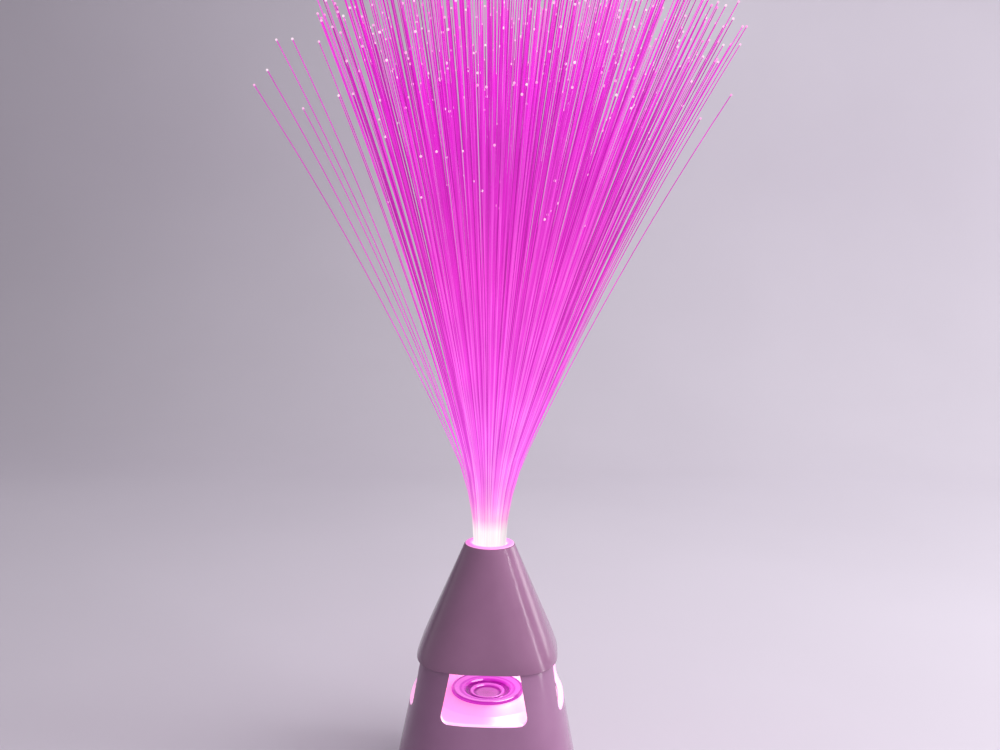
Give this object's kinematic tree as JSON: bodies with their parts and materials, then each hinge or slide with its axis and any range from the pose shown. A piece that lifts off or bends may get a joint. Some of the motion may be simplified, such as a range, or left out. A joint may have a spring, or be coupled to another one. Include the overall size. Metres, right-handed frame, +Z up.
{
  "type": "fibre optic lamp",
  "caption": "Table lamp with a spray of light-carrying fibres plugged into a flared cap, on a tapered base with four open windows, a lens and a battery bay.",
  "frame": {"origin": "centre of the base, on the plane of its rubber feet", "axes": "+Z up along the fibre spray, -Y towards the front of the lamp, +X to the right seen from the front"},
  "size_m": [0.1956, 0.1872, 0.3499],
  "materials": {
    "shell": "glossy moulded white plastic with a faint mauve cast",
    "cap": "glossy moulded white plastic with a faint mauve cast",
    "collar": "milky plastic lit pink from the fibre roots",
    "floor": "bright white reflector plastic, lit",
    "lens": "clear moulded lens glowing magenta",
    "board": "green lacquered circuit board",
    "emitter": "white LED packages",
    "chips": "black moulded components",
    "screw": "plated steel",
    "plate": "satin moulded plastic",
    "feet": "dark rubber",
    "cells": "plain jacketed steel can",
    "contact": "nickel-plated strip",
    "spring": "spring wire",
    "lead_red": "red insulated wire",
    "lead_black": "black insulated wire",
    "switch": "black switch housing",
    "button": "glossy white plastic",
    "ferrule": "thin clear-white sleeve",
    "resin": "cured clear resin, polished end",
    "fibre_core": "side-lit acrylic fibre, near white",
    "fibre_inner": "side-lit acrylic fibre, light pink",
    "fibre_middle": "side-lit acrylic fibre, pink",
    "fibre_outer": "side-lit acrylic fibre, magenta",
    "fibre_rim": "side-lit acrylic fibre, magenta"
  },
  "bodies": {
    "base": {"base_shell": "shell", "cap_shell": "cap", "socket_collar": "collar", "light_floor": "floor", "led_lens": "lens", "led_board": "board", "led_emitters": "emitter", "board_parts": "chips", "board_screws": "screw", "bottom_plate": "plate", "plate_screws": "screw", "rubber_feet": "feet", "battery_cells": "cells", "battery_contacts": "contact", "battery_springs": "spring", "positive_lead": "lead_red", "negative_lead": "lead_black", "switch_lead": "lead_red", "switch_body": "switch", "switch_board": "board", "button_spring": "spring"},
    "fibre_bundle": {"bundle_ferrule": "ferrule", "bundle_potting": "resin", "fibres_core": "fibre_core", "fibres_inner": "fibre_inner", "fibres_middle": "fibre_middle", "fibres_outer": "fibre_outer", "fibres_rim": "fibre_rim"},
    "button": {"power_button": "button"},
    "door": {"battery_door": "plate"}
  },
  "joints": [
    {"name": "bundle_lift", "type": "slide", "parent": "base", "child": "fibre_bundle", "axis": [0, 0, 1], "range_m": [0, 0.026]},
    {"name": "power_press", "type": "slide", "parent": "base", "child": "button", "axis": [0, -1, 0], "range_m": [0, 0.0016], "stiffness_N_per_m": 300, "springref_m": -0.001, "deforming": ["button_spring"]},
    {"name": "battery_door_hinge", "type": "hinge", "parent": "base", "child": "door", "pos_m": [0, -0.0273, 0.00255], "axis": [-1, 0, 0], "range_deg": [0, 90]}
  ]
}
